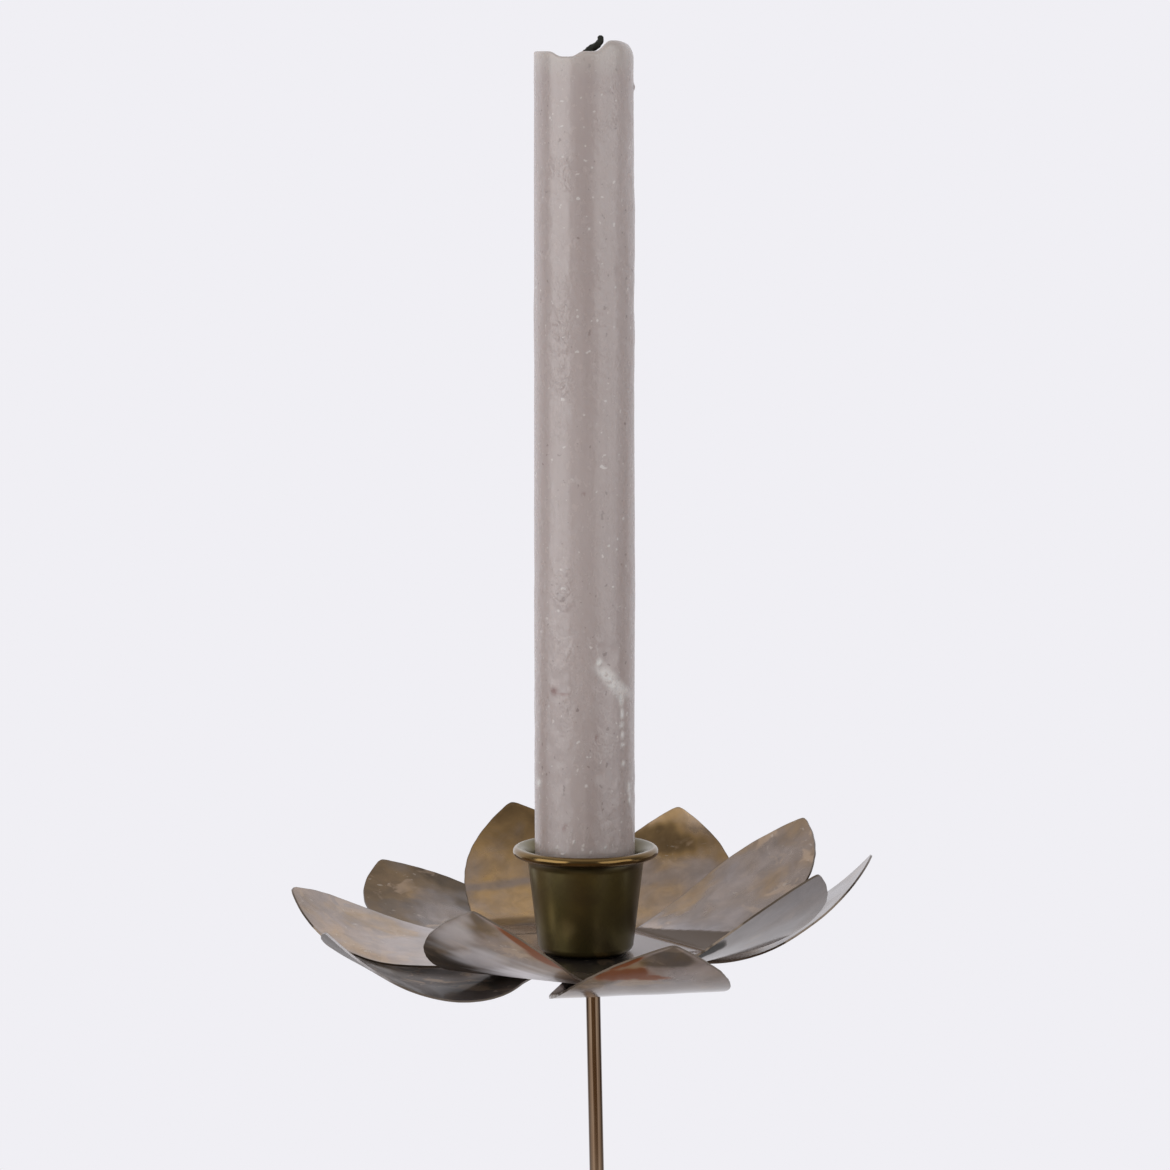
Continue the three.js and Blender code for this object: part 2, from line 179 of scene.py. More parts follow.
def startTree(owner):
    owner.use_nodes = True
    building["tree"] = owner.node_tree
    return owner.node_tree.nodes


def startMaterial(name):
    material = bpy.data.materials.new(name)
    return material, startTree(material)["Principled BSDF"]


def setInputs(node, inputs):
    # another node's output is linked; anything else is set as the input's own value
    for key, value in inputs.items():
        socket = node.inputs[key]
        if isinstance(value, bpy.types.NodeSocket):
            building["tree"].links.new(value, socket)
        else:
            socket.default_value = (*value, 1) if socket.type == "RGBA" else value


def addNode(kind, inputs=None, **settings):
    made = building["tree"].nodes.new("ShaderNode" + kind)
    for key, value in settings.items():
        setattr(made, key, value)
    setInputs(made, inputs or {})
    return made


def objectPlace(scale=(1, 1, 1), location=(0, 0, 0)):
    place = addNode("TexCoord").outputs["Object"]
    return addNode("Mapping", {"Vector": place, "Scale": scale, "Location": location}).outputs[0]


def readMark(mark):
    return addNode("Attribute", attribute_name=mark).outputs["Fac"]


def noise(place, scale, detail=3, rough=0.5, distortion=0):
    values = {"Vector": place, "Scale": scale, "Detail": detail, "Roughness": rough, "Distortion": distortion}
    return addNode("TexNoise", values).outputs[0]


def spread(value, low, high, toLow=0, toHigh=1):
    # maps the stretch low to high onto toLow to toHigh, held at both ends
    values = {"Value": value, "From Min": low, "From Max": high, "To Min": toLow, "To Max": toHigh}
    return addNode("MapRange", values).outputs[0]


def compute(operation, a, b=0.0, clamp=False):
    made = addNode("Math", {0: a, 1: b}, operation=operation)
    made.use_clamp = clamp
    return made.outputs[0]


def plus(a, b, clamp=False):
    return compute("ADD", a, b, clamp)


def times(a, b, clamp=False):
    return compute("MULTIPLY", a, b, clamp)


def blendColour(factor, first, second, kind="MIX"):
    # sockets 0, 6 and 7 are a colour mix's factor and its two colours, and output 2 its result
    values = {0: factor, 6: first, 7: second}
    return addNode("Mix", values, data_type="RGBA", blend_type=kind).outputs[2]


def shadeColour(colour, level):
    grey = addNode("CombineColor", {0: level, 1: level, 2: level}).outputs[0]
    return blendColour(1.0, colour, grey, "MULTIPLY")


def layerColours(colour, colours, layers):
    # each layer is the share that it covers and the name of its colour
    for factor, name in layers:
        colour = blendColour(factor, colour, colours[name])
    return colour


def colourRamp(factor, stops):
    made = addNode("ValToRGB", {0: factor})
    elements = made.color_ramp.elements
    while len(elements) < len(stops):
        elements.new(1.0)
    for element, (place, colour) in zip(elements, stops):
        element.position = place
        element.color = (*colour, 1)
    return made.outputs[0]


def bump(height, distance, under=None):
    inputs = {"Height": height, "Distance": distance * mm, "Strength": 1.0}
    if under is not None:
        inputs["Normal"] = under
    return addNode("Bump", inputs).outputs[0]


# Petals: two bored sheets, cut to five petals each and bent by hand

sheets = {
    "thickness": 0.45,
    "bendRadius": 22,  # flower axis to the bend lines
    "rootEase": 2.4,  # length over which the bend at the root comes in
    "widestAt": 0.38,
    "tipFullness": 3,
    "tipTrim": 0.5,  # taken off the pointed tip, and its end rounded from tipRound on
    "tipRound": 0.985,
    "notchDepth": 3,
    "boreRadius": 1.8,
    "trim": 0.2,  # taken off the outline before its ragged cut
    "raggedness": 0.16,  # unevenness of the cut edge towards the tip
    "waviness": 0.1,
    "cutWaves": (9, 5, 3.1, 2.2),  # lengths of the waves in the cut, the sheet, the patches and the bands
    "sheetWaves": (31, 23, 17, 13),
    "patchWaves": (14, 9, 5, 3),
    "bandWaves": (7, 4, 2.5),
    "edgeEase": 0.1,
    "liftFrom": 0.7,  # place across where an edge lift starts
    "settleRun": 12,  # length over which a petal's own tone comes in
    "unevenness": 0.3,
    "darkFactor": 0.38,  # patches darker than this have a crisp border
    "crispBorder": (0.2, 0.3),  # share of the unevenness, and softness
    "softBorder": (1, 0.9),
    "bandSlope": 0.55,  # a root band is higher on one side
    "bandRaggedness": 0.4,
    "bandSoftness": 0.8,
    "dullSoftness": 0.08,
    "paleReflectionStart": (3, 7),  # start and run of the painted pale reflection on the flat centre, right of the cup
    "frontShadeStart": (3, 6),  # and of the painted shade on the flat centre, in front of the cup
    "rows": 76,
    "tipRows": 6,
    "columns": 44,
    "notchColumns": 9,
    "rings": 14,
}
# A patch is its middle and half sizes, in share along and place across, then its step in tone and its factor
# in shade. Painted foot reflection, painted gap shadow and painted floor reflection lie under a petal, and
# painted pale reflection on top: their patches end with a weight instead.
# Dull is how much and from which share on; an edge lift is its side, middle share, reach and height.
innerLayer = {
    "top": 0,
    "length": 46.5,
    "halfWidth": 17.7,
    "rootHalfWidth": 14,
    "petals": [
        {"azimuth": 35, "root": 5, "tip": 50, "skew": 0, "roll": -4, "growth": 0.65,
         "tone": 0.4, "shade": 0.7, "band": 7.5, "patches": [(0.4, 0.95, 0.22, 0.35, 0.35, 1.1)]},
        {"azimuth": 103, "root": 4, "tip": 69, "skew": -22, "roll": 13, "growth": 0.7,
         "tone": 0.72, "shade": 0.88, "band": 2.5,
         # the first patch is patina and painted shade, darkening the top
         "patches": [(0.92, 0.1, 0.16, 1.0, 0.12, 0.74), (0.55, 0.6, 0.025, 0.6, -0.2, 0.92),
                     (0.42, 0.5, 0.1, 0.6, 0, 1.15), (0.24, 0.6, 0.05, 0.8, 0.1, 0.55)]},
        {"azimuth": 177, "root": 2, "tip": 46, "skew": -10, "roll": -3, "growth": 1.5,
         "tone": 0.27, "shade": 1.06, "edgeLift": (1, 0.5, 0.16, -0.35),
         "patches": [(0.55, -0.55, 0.2, 0.35, 0.35, 0.95), (0.96, 0.4, 0.12, 0.9, 0.05, 0.8)]},
        {"azimuth": 247, "root": -1, "tip": 60, "skew": -3, "roll": -2, "growth": 1.1,
         "tone": 0.25, "shade": 0.9, "warm": 0.3, "dull": (0.85, 0.2),
         # painted reflection of the foot, red-brown
         "paintedFootReflection": [(0.79, 0.98, 0.14, 0.27, 1)],
         # painted reflection of the floor, pale on this petal's underside
         "paintedFloorReflection": [(0.4, 0.18, 0.17, 0.56, 1.0), (0.6, -0.22, 0.14, 0.38, 0.55),
                  (0.82, -0.55, 0.13, 0.42, 0.35)],
         # the second patch is a painted reflection: a dark crescent where this petal mirrors the dark outer
         # petal behind it
         "patches": [(0.95, 0, 0.1, 0.6, 0.3, 0.48), (0.4, -0.95, 0.4, 0.56, 0.3, 0.35)]},
        {"azimuth": 325, "root": 6, "tip": 55, "skew": -5, "roll": 1, "growth": 0.8,
         "tone": 0.1, "shade": 0.62, "warm": 0.4,
         # painted shadow: a dark wedge in the gap beside the next petal, near the root
         "paintedGapShadow": [(0.48, -1.0, 0.11, 0.3, 1)]},
    ],
}
outerLayer = {
    "top": -1.2,
    "length": 51,
    "halfWidth": 18.6,
    "rootHalfWidth": 10.5,
    "petals": [
        {"azimuth": 16, "root": -6, "tip": 50, "skew": -15, "roll": -9, "growth": 0.75,
         "tone": 0.05, "shade": 0.62},
        {"azimuth": 70, "root": -4, "tip": 75, "skew": 1, "roll": -2, "growth": 1.25,
         "tone": 0.6, "shade": 0.92,
         # the first and last patches are patina and painted shade: a dark band under the tip, and a dimmer
         # tip
         "patches": [(0.84, 0.25, 0.075, 0.95, 0.2, 0.47), (0.68, -0.1, 0.08, 0.9, -0.15, 1.0),
                     (0.98, 0.1, 0.07, 1.0, 0.05, 0.72)]},
        {"azimuth": 132, "root": -2, "tip": 30, "skew": 6, "roll": -3, "growth": 0.9,
         "tone": 0.6, "shade": 0.47,
         "patches": [(0.57, -0.05, 0.17, 0.35, -0.2, 1.4), (0.78, -0.85, 0.12, 0.35, 0.2, 0.6),
                     (0.55, -0.45, 0.08, 0.12, 0.2, 0.6), (0.4, 0.35, 0.13, 0.4, -0.25, 1.3),
                     (0.8, 0.3, 0.1, 0.35, 0.15, 1.25)]},
        # this petal's low shade is painted shade: its inner face is darkened where it mirrors the shaded
        # undersides above it
        {"azimuth": 216, "root": -9, "tip": 51, "skew": -11, "roll": -3, "growth": 1.25,
         "tone": 0.2, "shade": 0.31, "dull": (1.0, 0), "edgeLift": (-1, 0.52, 0.14, 0.45),
         # painted reflection: a pale strip along this petal's upper face
         "paintedPaleReflection": [(0.95, 0.2, 0.16, 1.3, 0.85)]},
        {"azimuth": 285, "root": -9, "tip": 51, "skew": -9, "roll": 3, "growth": 1.05,
         "tone": 0.15, "shade": 0.85, "warm": 0.35, "dull": (0.6, 0.66),
         # painted reflection of the foot, red-brown
         "paintedFootReflection": [(0.78, -0.6, 0.06, 0.42, 1), (0.755, -0.12, 0.022, 0.28, 1), (0.88, -0.95, 0.05, 0.2, 1)],
         "patches": [(0.93, 0.0, 0.08, 0.8, 0.3, 0.36), (0.83, -0.8, 0.08, 0.35, 0.4, 0.8),
                     (0.68, -0.9, 0.08, 0.3, 0.35, 0.65)]},
    ],
}


def petalHalfWidth(layer, share):
    # a quarter sine from the root to the widest place, then a full curve to the blunt tip
    root, wide, widest = layer["rootHalfWidth"], layer["halfWidth"], sheets["widestAt"]
    rise = root + (wide - root) * np.sin(np.clip(share / widest, 0, 1) * np.pi / 2)
    fall = wide * (1 - np.clip((share - widest) / (1 - widest), 0, 1) ** sheets["tipFullness"])
    return np.where(share < widest, rise, fall)


def runningSum(values, step):
    return np.concatenate([[0], np.cumsum((values[1:] + values[:-1]) / 2)]) * step


def bentSheet(layer, petal, along, across):
    # the blank rolls up about a line turned by the skew: run and lift are the running sums of the cosine and
    # sine of its slope, which comes in at the root and grows to the tip by a power; the roll lifts one side
    length = layer["length"]
    skew, root, tip = (math.radians(petal[key]) for key in ("skew", "root", "tip"))
    forward = along * math.cos(skew) + across * math.sin(skew)
    aside = across * math.cos(skew) - along * math.sin(skew)
    flat = layer["rootHalfWidth"] * abs(math.sin(skew))
    reach = np.linspace(-length / 2, 1.5 * length, 2000)
    bent = np.clip((reach - flat) / (length * math.cos(skew) - flat), 0, 1.2)
    begun = smoothStep((reach - flat) / sheets["rootEase"] + 0.5)
    slope = root * begun + (tip - root) * bent ** petal["growth"]
    step = reach[1] - reach[0]
    run = np.interp(forward, reach, reach[0] + runningSum(np.cos(slope), step))
    lift = np.interp(forward, reach, runningSum(np.sin(slope), step))
    lift = lift + math.tan(math.radians(petal["roll"])) * across * (along / length)
    radial = sheets["bendRadius"] + run * math.cos(skew) - aside * math.sin(skew)
    sideways = run * math.sin(skew) + aside * math.cos(skew)
    turn = math.radians(petal["azimuth"])
    x = radial * math.cos(turn) - sideways * math.sin(turn)
    y = radial * math.sin(turn) + sideways * math.cos(turn)
    return np.stack([x, y, lift], -1)


def patchShare(share, place, spot, uneven, soft):
    # 1 inside an uneven round patch, given by its middle and half sizes in share along and place across
    away = np.hypot((share - spot[0]) / spot[2], (place - spot[1]) / spot[3]) + uneven
    return smoothStep((1 + soft / 2 - away) / soft)


def strongestPatch(patches, share, place, uneven, soft):
    # the largest of several weighted patches at each point
    inside = 0 * (share + place)
    for *spot, weight in patches:
        inside = np.maximum(inside, weight * patchShare(share, place, spot, uneven, soft))
    return inside


def petalPatch(layer, petal, seed):
    # grid of share along by place across; each side of the outline has its own ragged cut, inside the CAD one
    tip = sheets["tipRound"]
    rows = np.linspace(0, tip, sheets["rows"]), np.linspace(tip, 1, sheets["tipRows"])[1:]
    share = np.concatenate(rows)[:, None]
    place = np.linspace(-1, 1, sheets["columns"])[None, :]
    along = share * (layer["length"] - sheets["tipTrim"])
    cut = [ripple(along, 0 * along, sheets["cutWaves"], seed + side) for side in (1, 2)]
    ragged = np.where(place < 0, cut[0], cut[1]) * sheets["raggedness"] - sheets["trim"]
    ending = np.clip((share - tip) / (1 - tip), 0, 1)
    half = petalHalfWidth(layer, along / layer["length"]) + ragged * smoothStep(share / 0.5) * (1 - ending)
    half = half * np.sqrt(1 - 0.9 * ending ** 2)
    across = place * half
    points = bentSheet(layer, petal, along + 0 * place, across)
    wave = ripple(along, across, sheets["sheetWaves"], seed)
    points[..., 2] += sheets["waviness"] * wave * smoothStep(share * 3) * smoothStep((1 - share) * 4)
    if "edgeLift" in petal:
        side, middle, reach, lift = petal["edgeLift"]
        nearEdge = smoothStep((place * side - sheets["liftFrom"]) / (1 - sheets["liftFrom"]))
        points[..., 2] += lift * nearEdge * np.exp(-((share - middle) / reach) ** 2)
    edge = np.minimum((1 - np.abs(place)) * half, (1 - share) * layer["length"] * 0.7)
    settle = smoothStep(along / sheets["settleRun"]) + 0 * place
    tone, shade = petal["tone"] * settle, 1 + (petal["shade"] - 1) * settle
    uneven = sheets["unevenness"] * ripple(along, across, sheets["patchWaves"], seed + 5)
    for *spot, step, factor in petal.get("patches", []):
        rough, soft = sheets["crispBorder" if factor < sheets["darkFactor"] else "softBorder"]
        inside = patchShare(share, place, spot, uneven * rough, soft)
        tone, shade = tone + step * inside, shade * (1 + (factor - 1) * inside)
    height = petal.get("band", 0)
    bandTop = height * (1 - sheets["bandSlope"] * across / layer["rootHalfWidth"])
    bandTop = bandTop + sheets["bandRaggedness"] * ripple(across, along, sheets["bandWaves"], seed)
    band = smoothStep((bandTop - along) / sheets["bandSoftness"]) * smoothStep(along) * (height > 0)
    most, start = petal.get("dull", (0, 0))
    dull = most * smoothStep((share - start) / sheets["dullSoftness"]) + 0 * place
    marks = {"tone": tone, "shade": shade, "edge": edge, "rise": share + 0 * place, "band": band,
             "dull": dull, "warm": petal.get("warm", 0) * settle}
    # foot reflection, gap shadow, floor reflection and pale reflection patches: all painted light
    for mark, soft in (("paintedFootReflection", 0.4), ("paintedGapShadow", 0.4), ("paintedFloorReflection", 1.0), ("paintedPaleReflection", 1.0)):
        marks[mark] = strongestPatch(petal.get(mark, []), share, place, uneven, soft)
    return points, marks


def sheetRim(layer):
    # the flat centre's outline: each petal's root, then a notch that dips by a half sine to the next root
    root = layer["rootHalfWidth"]
    across = np.linspace(-root, root, sheets["columns"])
    share = np.linspace(0, 1, sheets["notchColumns"])[1:-1, None]
    rim = []
    for petal, following in zip(layer["petals"], layer["petals"][1:] + layer["petals"][:1]):
        here = bentSheet(layer, petal, 0 * across, across)
        ahead = bentSheet(layer, following, np.zeros(1), np.array([-root]))
        notch = here[-1:] + (ahead - here[-1:]) * share
        ends = np.linalg.norm(here[-1, :2]), np.linalg.norm(ahead[0, :2])
        wanted = ends[0] + (ends[1] - ends[0]) * share - sheets["notchDepth"] * np.sin(np.pi * share)
        notch[:, :2] *= wanted / np.linalg.norm(notch[:, :2], axis=1, keepdims=True)
        rim += [here, notch]
    return np.concatenate(rim)


def makeSheet(name, layer, finish, node, seed):
    # rings by rim points for the flat centre, then a grid for each petal; modifiers give the sheet its wall
    rim = sheetRim(layer)
    share = np.linspace(0, 1, sheets["rings"])[:, None]
    reach = np.linalg.norm(rim[:, :2], axis=1)[None]
    radius = sheets["boreRadius"] + (reach - sheets["boreRadius"]) * share
    flat = np.concatenate([rim[None, :, :2] / reach[..., None] * radius[..., None],
                           (rim[:, 2] * share ** 6)[..., None]], -1)
    insideRim = smoothStep((1 - share) * 20)
    (paleReflectionStart, paleReflectionRun), (frontShadeStart, frontShadeRun) = sheets["paleReflectionStart"], sheets["frontShadeStart"]
    # painted reflection: pale colour on the flat centre, right of the cup
    paleReflectionOnCentre = smoothStep((0.9 * flat[..., 0] + 0.45 * flat[..., 1] - paleReflectionStart) / paleReflectionRun) * insideRim
    # painted shade: the flat centre darkened in front of the cup, where it mirrors the dark cup
    dark = smoothStep((-flat[..., 1] - frontShadeStart) / frontShadeRun) * insideRim
    none = 0 * radius
    plain = {mark: none for mark in ("tone", "rise", "band", "dull", "warm", "paintedFootReflection", "paintedGapShadow", "paintedFloorReflection")}
    plain.update({"shade": 1 - 0.7 * dark, "edge": none + sheets["bendRadius"], "paintedPaleReflection": paleReflectionOnCentre})
    patches = [{"points": flat, "wrap": True, "flip": True, "marks": plain}]
    for k, petal in enumerate(layer["petals"]):
        points, marks = petalPatch(layer, petal, seed + 10 * k)
        patches.append({"points": points, "flip": True, "marks": marks})
    for patch in patches:
        patch["points"] = onFlower(patch["points"] + np.array([0, 0, layer["top"]]))
    sheet = makePiece(name, patches, finish, "holder", node, crease=80)
    wall = sheet.modifiers.new("thickness", "SOLIDIFY")
    wall.thickness = sheets["thickness"] * mm
    wall.offset = -1
    wall.use_even_offset = True
    rounded = sheet.modifiers.new("cutEdges", "BEVEL")
    rounded.width = sheets["edgeEase"] * mm
    rounded.segments = 2
    rounded.limit_method = "ANGLE"
    rounded.angle_limit = math.radians(50)
    rounded.harden_normals = True


petalFinish = {
    "ramp": [  # from clean lacquered metal to heavy patina
        (0.0, (0.33, 0.285, 0.275)),
        (0.45, (0.30, 0.228, 0.18)),
        (0.75, (0.39, 0.245, 0.105)),
        (1.0, (0.27, 0.165, 0.07)),
    ],
    "cutEdge": (0.13, 0.10, 0.075),
    "smear": (0.46, 0.33, 0.22),
    "band": (0.10, 0.066, 0.04),  # dark brown band along some roots
    # painted reflection of the foot, red-brown
    "paintedFootReflection": (0.235, 0.073, 0.018),
    "fleck": (0.55, 0.48, 0.40),
    # painted shadow in a gap between two petals
    "paintedGapShadow": (0.016, 0.013, 0.008),
    "paintedPaleReflection": (0.62, 0.60, 0.62),  # painted pale reflection on the flat centre, right of the cup, and on one petal
    "paintedFloorReflection": (0.78, 0.75, 0.77),  # painted reflection of the floor, under one petal
}


lacquer = {"Coat Weight": 0.15, "Coat Roughness": 0.08, "Coat IOR": 1.5}


def petalBrass():
    # lacquered sheet, bright where it is clean; a brown patina lies in soft clouds, darker on some petals, on
    # one of them as painted shade; painted reflections and a painted shadow lie over it
    material, shader = startMaterial("petalBrass")
    place = objectPlace()
    facing = addNode("SeparateXYZ", {0: addNode("TexCoord").outputs["Normal"]}).outputs[2]
    under, over = spread(facing, 0.1, -0.1), spread(facing, -0.1, 0.1)  # the sheet's two faces
    broad = noise(place, 30, 3, 0.5, 0.5)
    fine = noise(objectPlace(location=(3, 1, 2)), 85, 4, 0.55, 0.4)
    amount = plus(readMark("tone"), spread(readMark("rise"), 0, 1, -0.1, 0.12))
    amount = plus(amount, times(readMark("warm"), over))
    amount = plus(amount, spread(broad, 0.3, 0.7, -0.25, 0.25))
    amount = plus(amount, spread(fine, 0.33, 0.67, -0.15, 0.15), clamp=True)
    depth = noise(objectPlace(location=(1, 4, 2)), 24, 3, 0.5, 0.6)
    grain = noise(objectPlace(location=(7, 3, 5)), 200, 4, 0.6, 0.5)
    shadeMark = readMark("shade")
    shade = times(shadeMark, spread(depth, 0.3, 0.7, 0.82, 1.15))
    shade = times(shade, spread(grain, 0.35, 0.65, 0.84, 1.14))
    colour = shadeColour(colourRamp(amount, petalFinish["ramp"]), shade)
    streaky = noise(objectPlace((1, 1, 1.8), (2, 6, 1)), 130, 3, 0.55, 0.8)
    smear = times(spread(streaky, 0.56, 0.64, 0, 0.5), spread(broad, 0.44, 0.56))
    speck = noise(objectPlace((1, 1, 1.6), (5, 2, 7)), 520, 2, 0.5, 0.4)
    fleck = times(spread(speck, 0.66, 0.73), spread(broad, 0.46, 0.58, 0, 0.5))
    band, dull = readMark("band"), readMark("dull")
    # painted reflections of the foot and the floor, and a painted gap shadow, on the undersides
    paintedFootReflection, paintedFloorReflection, paintedGapShadow = (times(readMark(mark), under) for mark in ("paintedFootReflection", "paintedFloorReflection", "paintedGapShadow"))
    # painted pale reflection, on the upper faces
    paintedPaleReflection = times(readMark("paintedPaleReflection"), over)
    cutEdge = spread(readMark("edge"), 0, 0.3, 0.9, 0)
    colour = layerColours(colour, petalFinish, [
        (smear, "smear"), (fleck, "fleck"), (band, "band"), (paintedFootReflection, "paintedFootReflection"), (cutEdge, "cutEdge"),
        (paintedPaleReflection, "paintedPaleReflection"), (paintedFloorReflection, "paintedFloorReflection"), (paintedGapShadow, "paintedGapShadow")])
    # where either painted reflection makes the petal pale
    pale = compute("MAXIMUM", paintedPaleReflection, paintedFloorReflection)
    rough = plus(spread(amount, 0.1, 0.9, 0.08, 0.28), spread(shadeMark, 0.3, 1, 0.26, 0))
    for layer, more in ((fleck, 0.2), (pale, 0.3), (dull, 0.2), (band, 0.35), (paintedGapShadow, 0.7)):
        rough = plus(rough, times(layer, more), clamp=True)
    metal = times(spread(pale, 0, 1, 0.85, 0.3), spread(dull, 0, 1, 1, 0.3))
    brownMarks = compute("MAXIMUM", paintedFootReflection, band)
    metal = compute("MAXIMUM", metal, times(brownMarks, 0.9))
    metal = times(metal, spread(paintedGapShadow, 0, 1, 1, 0))
    dents = bump(noise(place, 90, 2, 0.4), 0.04)
    setInputs(shader, {"Base Color": colour, "Metallic": metal, "Roughness": rough, "Normal": dents,
                       **lacquer})
    return material


petalMaterial = petalBrass()
makeSheet("outerPetalSheet", outerLayer, petalMaterial, "outer_petals", 100)
makeSheet("innerPetalSheet", innerLayer, petalMaterial, "inner_petals", 200)


# Cup: a tapered wall that flares by a quarter turn into a round bead

cup = {
    "height": 23.7,
    "wall": 0.7,
    "cornerRadius": 2,
    "draft": 6.8,
    "mouthRadius": 11.9,
    "lipReach": 3.4,
    "beadRadius": 1.05,
    "boreRadius": 1.8,
    "sides": 128,
}
cup["beadHeight"] = cup["height"] - cup["beadRadius"]
cup["flareStart"] = cup["beadHeight"] - cup["lipReach"]


def cupInside(height):
    return cup["mouthRadius"] - (cup["flareStart"] - height) * math.tan(math.radians(cup["draft"]))


def makeCup(finish):
    wall, bead, start, mouth = cup["wall"], cup["beadRadius"], cup["flareStart"], cup["mouthRadius"]
    corner, draft = cup["cornerRadius"], cup["draft"]
    cornerHeight = fitGap + corner
    inside = cupInside(cornerHeight)
    flare = cup["beadHeight"] - bead - start
    lip = [
        arcPoints(mouth + wall + flare, start, flare, 180, 90, 14),
        arcPoints(mouth + wall + cup["lipReach"] - bead, cup["beadHeight"], bead, -90, 90, 24),
        arcPoints(0, 0, 1, 90, 180, 18) * [wall + flare, flare + 2 * bead] + [mouth + wall + flare, start],
    ]
    outerCorner = arcPoints(inside + wall - corner, cornerHeight, corner, -90, -draft, 12)
    profile = np.concatenate([
        [[cup["boreRadius"], fitGap]],
        outerCorner,
        *lip,
        arcPoints(inside - corner + wall, cornerHeight, corner - wall, -draft, -90, 8),
        [[cup["boreRadius"], fitGap + wall]],
        [[cup["boreRadius"], fitGap]],
    ])
    onLip = np.zeros(len(profile))
    beadStart = 1 + len(outerCorner) + len(lip[0])
    onLip[beadStart:beadStart + len(lip[1])] = 1
    points = turnedPoints(profile, cup["sides"])
    marks = {"lip": onLip[:, None] + np.zeros(cup["sides"])}
    makePiece("candleCup", [{"points": onFlower(points), "wrap": True, "marks": marks}], finish,
              "holder", "candle_cup", crease=50)


cupColours = {"olive": (0.15, 0.125, 0.044), "umber": (0.102, 0.08, 0.033), "gold": (0.185, 0.108, 0.032)}


def cupBrass():
    # satin dark patina with faint spinning lines, rubbed back to gold on the bead, and painted light on the
    # left side
    material, shader = startMaterial("cupBrass")
    cloud = noise(objectPlace(), 90, 4, 0.55, 0.6)
    colour = blendColour(spread(cloud, 0.35, 0.65), cupColours["olive"], cupColours["umber"])
    across = addNode("SeparateXYZ", {0: objectPlace()}).outputs[0]
    paintedLeftLight = spread(across, flowerX - 0.01, flowerX + 0.01, 1.32, 0.95)  # painted light: the cup's left side lighter, for the left softbox's reflection
    colour = shadeColour(colour, paintedLeftLight)
    lip = readMark("lip")
    rubbed = times(lip, spread(cloud, 0.3, 0.6, 1, 0.8))
    colour = blendColour(rubbed, colour, cupColours["gold"])
    rings = noise(objectPlace((20, 20, 2500)), 1, 2, 0.5)
    rough = compute("SUBTRACT", spread(cloud, 0.3, 0.7, 0.3, 0.38), times(lip, 0.18))
    setInputs(shader, {"Base Color": colour, "Metallic": 0.95, "Roughness": rough,
                       "Normal": bump(rings, 0.006), "Coat Weight": 0.25, "Coat Roughness": 0.25,
                       "Coat IOR": 1.5})
    return material


makeCup(cupBrass())


# Candle: a straight taper with a pared foot and an uneven burnt top

candle = {
    "radius": 11,  # where it leaves the cup
    "topRadius": 10.85,
    "lean": (-0.15, -0.4),  # sideways shift of the candle at the cup and at its top
    "foot": 4.3,  # above the flower's flat centre
    "paredTop": 15.06,
    "top": 197.85,
    "seatGap": 0.4,
    "leastEdge": (0.5, 0.6),  # width and height of the top edge's rounding on the left
    "mostEdge": (1.5, 2.0),  # and on the right, where the wax ran down
    "wickBore": 1.05,
    "wickDepth": 6,
    "sides": 168,
    "rows": {"foot": 14, "side": 490, "edge": 16, "crown": 26, "bore": 5},
    "hollow": {"x": -3.8, "width": 2.6, "depth": 1.15},
    "hump": {"start": 2.4, "run": 3.4, "setback": 2.6, "height": 2.3, "domeFrom": 6.6, "dome": 0.1},
    "backFall": 0.03,  # the top slopes away to the back
    "nub": {"height": 189.8, "rise": 0.3, "reach": 0.7},  # a small drip on the right edge
    "swell": 0.12,
    "lumps": 0.09,
    "lumpsFrom": 10,  # height over which the lumps come in above the cup
    "crownInset": 4,  # and how far in from the side they go
    "burntReach": 4,  # depth over which the burnt top's unevenness dies out
    "meltReach": 7,  # and over which the wax is paler
}


def leanShift(z):
    return np.interp(z, (candle["paredTop"], candle["top"]), candle["lean"])


def burntLift(x, y):
    # rise and fall of the burnt top: a flat-bottomed hollow across it, and a dome on the right, off the wick
    hollow, hump = candle["hollow"], candle["hump"]
    sunk = hollow["depth"] * np.exp(-((x - hollow["x"]) / hollow["width"]) ** 4)
    start = hump["start"] + hump["setback"] * (1 - smoothStep(np.abs(y) / hump["setback"]))
    risen = hump["height"] * smoothStep((x - start) / hump["run"])
    fallen = hump["dome"] * np.maximum(x - hump["domeFrom"], 0) ** 2
    return risen - fallen - sunk - candle["backFall"] * (y + candle["topRadius"])


def latticeNoise(turns, z, around, tall, seed):
    # smooth random values between -1 and 1 on a lattice of so many cells round the axis, each so tall
    u, v = turns * around, z / tall
    cells = np.random.default_rng(seed).uniform(-1, 1, (around, int(v.max()) + 3))
    i, j = np.floor(u).astype(int), np.floor(v).astype(int)
    a, b = smoothStep(u - i), smoothStep(v - j)
    corner = lambda p, q: cells[(i + p) % around, j + q]
    below = corner(0, 0) * (1 - a) + corner(1, 0) * a
    above = corner(0, 1) * (1 - a) + corner(1, 1) * a
    return below * (1 - b) + above * b


